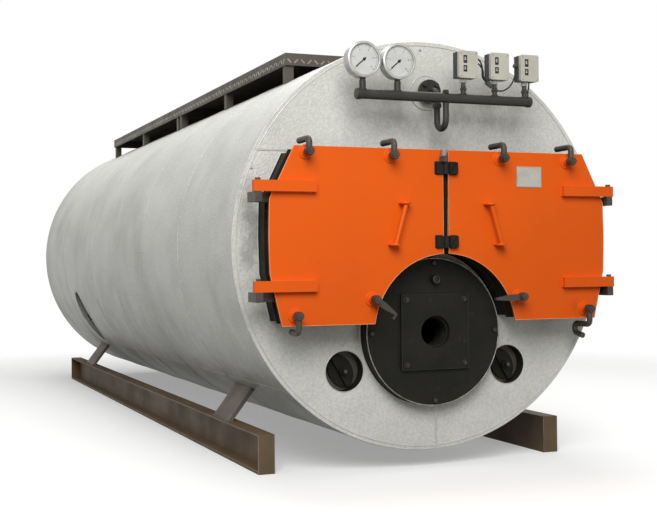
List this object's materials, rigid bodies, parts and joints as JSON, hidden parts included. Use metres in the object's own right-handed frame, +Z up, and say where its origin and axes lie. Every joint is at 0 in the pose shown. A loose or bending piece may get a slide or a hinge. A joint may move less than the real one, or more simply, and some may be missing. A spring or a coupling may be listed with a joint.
{
  "type": "industrial boiler, horizontal fire-tube steam boiler with hinged smokebox doors",
  "caption": "Horizontal fire-tube steam boiler, clad barrel on skids, with hinged orange smokebox doors, burner front, gauge manifold and roof walkway.",
  "frame": {"origin": "on the ground, under the middle of the whole boiler", "axes": "+Z up, +Y from the front doors towards the rear smoke outlet, +X right seen from the front"},
  "size_m": [1.8, 5.614, 2.05],
  "materials": {
    "cladding_sheet": "satin",
    "door_paint": "satin",
    "black_paint": "satin",
    "frame_primer": "matte",
    "leg_primer": "matte",
    "raw_steel": "matte",
    "bright_steel": "satin",
    "instrument_case": "satin",
    "lining_board": "matte"
  },
  "bodies": {
    "root": {"barrel_cladding": "cladding_sheet", "burner_plate": "black_paint", "front_cladding_lower": "cladding_sheet", "front_cladding_upper": "cladding_sheet", "front_tube_plate": "raw_steel", "furnace_front": "black_paint", "furnace_tube": "raw_steel", "gauge_manifold": "black_paint", "gauge_nozzle": "black_paint", "handhole_covers": "black_paint", "hinge_brackets": "raw_steel", "hinge_pins": "raw_steel", "left_skid": "frame_primer", "manhole": "black_paint", "pressure_gauges": "bright_steel", "pressure_shell": "raw_steel", "rear_band_cladding": "cladding_sheet", "rear_cladding": "cladding_sheet", "rear_smoke_outlet": "black_paint", "rear_smokebox": "black_paint", "rear_tube_plate": "raw_steel", "right_skid": "frame_primer", "sight_port": "black_paint", "siphon_pipe": "black_paint", "smoke_tubes": "raw_steel", "smokebox": "black_paint", "steam_nozzle": "black_paint", "support_legs": "leg_primer", "switch_bodies": "instrument_case", "switch_cables": "black_paint", "switch_covers": "instrument_case", "walkway_deck": "frame_primer", "walkway_posts": "frame_primer"},
    "left_door": {"left_door_panel": "door_paint", "left_door_lining": "lining_board", "left_hinge_arms": "door_paint", "left_door_handle": "door_paint", "left_clamp_hooks": "raw_steel", "left_meeting_lugs": "black_paint"},
    "right_door": {"right_door_panel": "door_paint", "right_door_lining": "lining_board", "right_hinge_arms": "door_paint", "right_door_handle": "door_paint", "right_clamp_hooks": "raw_steel", "right_meeting_lugs": "black_paint", "name_plate": "bright_steel"}
  },
  "joints": [
    {"name": "left_door_hinge", "type": "hinge", "parent": "root", "child": "left_door", "pos_m": [-0.851, -2.7515, 1.015], "axis": [0, 0, -1], "range_deg": [0, 110]},
    {"name": "right_door_hinge", "type": "hinge", "parent": "root", "child": "right_door", "pos_m": [0.818, -2.7515, 1.015], "axis": [0, 0, 1], "range_deg": [0, 110]}
  ]
}
